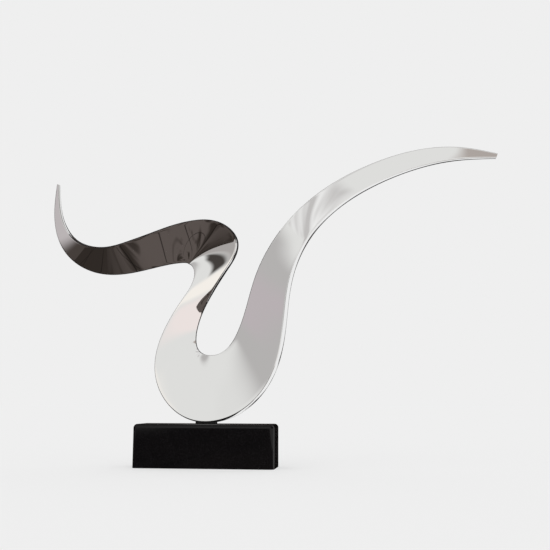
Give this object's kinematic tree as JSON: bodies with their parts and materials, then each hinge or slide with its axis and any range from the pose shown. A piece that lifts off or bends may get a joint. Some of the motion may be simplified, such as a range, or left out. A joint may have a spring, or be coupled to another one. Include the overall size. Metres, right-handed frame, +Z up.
{
  "type": "abstract metal sculpture",
  "caption": "Abstract swan-like ribbon of mirror polished steel, standing on a small black saddle on a black stone plinth.",
  "frame": {"origin": "middle of the plinth's underside, on the surface that the sculpture stands on", "axes": "+Z up, +X along the plinth towards the long right wing, -Y towards the viewer of the ribbon's front face"},
  "size_m": [1.0818, 0.1234, 0.7742],
  "materials": {
    "black_stone": "polished",
    "black_rubber": "matte",
    "mirror_steel": "mirror polished stainless steel"
  },
  "bodies": {
    "root": {"stone_plinth": "black_stone", "black_saddle": "black_rubber", "polished_ribbon": "mirror_steel"}
  },
  "joints": []
}
